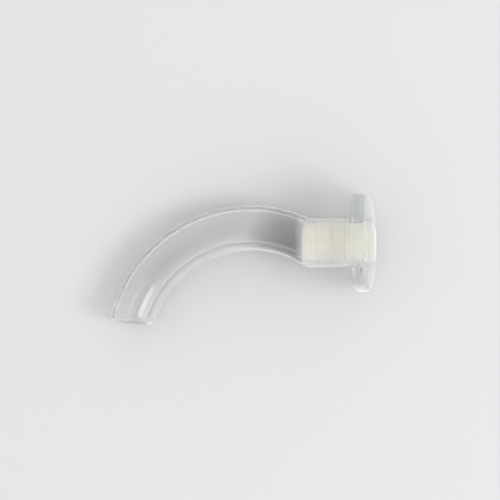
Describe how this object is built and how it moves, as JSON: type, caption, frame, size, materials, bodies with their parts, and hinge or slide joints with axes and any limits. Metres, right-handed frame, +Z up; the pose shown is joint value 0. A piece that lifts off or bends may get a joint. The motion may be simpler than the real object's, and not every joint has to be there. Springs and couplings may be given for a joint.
{
  "type": "oropharyngeal airway",
  "caption": "Curved clear plastic airway tube with an oval lip flange and a rigid ribbed bite block in its mouth, lying on its side.",
  "frame": {"origin": "on the surface that the airway lies on, below the middle of its bounding box", "axes": "+X points out of the mouth, along the bite axis as seen from above; +Y is the palate side, where the curve rises; +Z is up as it lies on its side, across the lips"},
  "size_m": [0.0772, 0.0376, 0.0317],
  "materials": {
    "clear_body": "soft clear moulded plastic, slightly milky, satin to gloss",
    "bite_block": "rigid off-white moulded plastic"
  },
  "bodies": {
    "root": {"airway_body": "clear_body", "bite_block": "bite_block"}
  },
  "joints": []
}
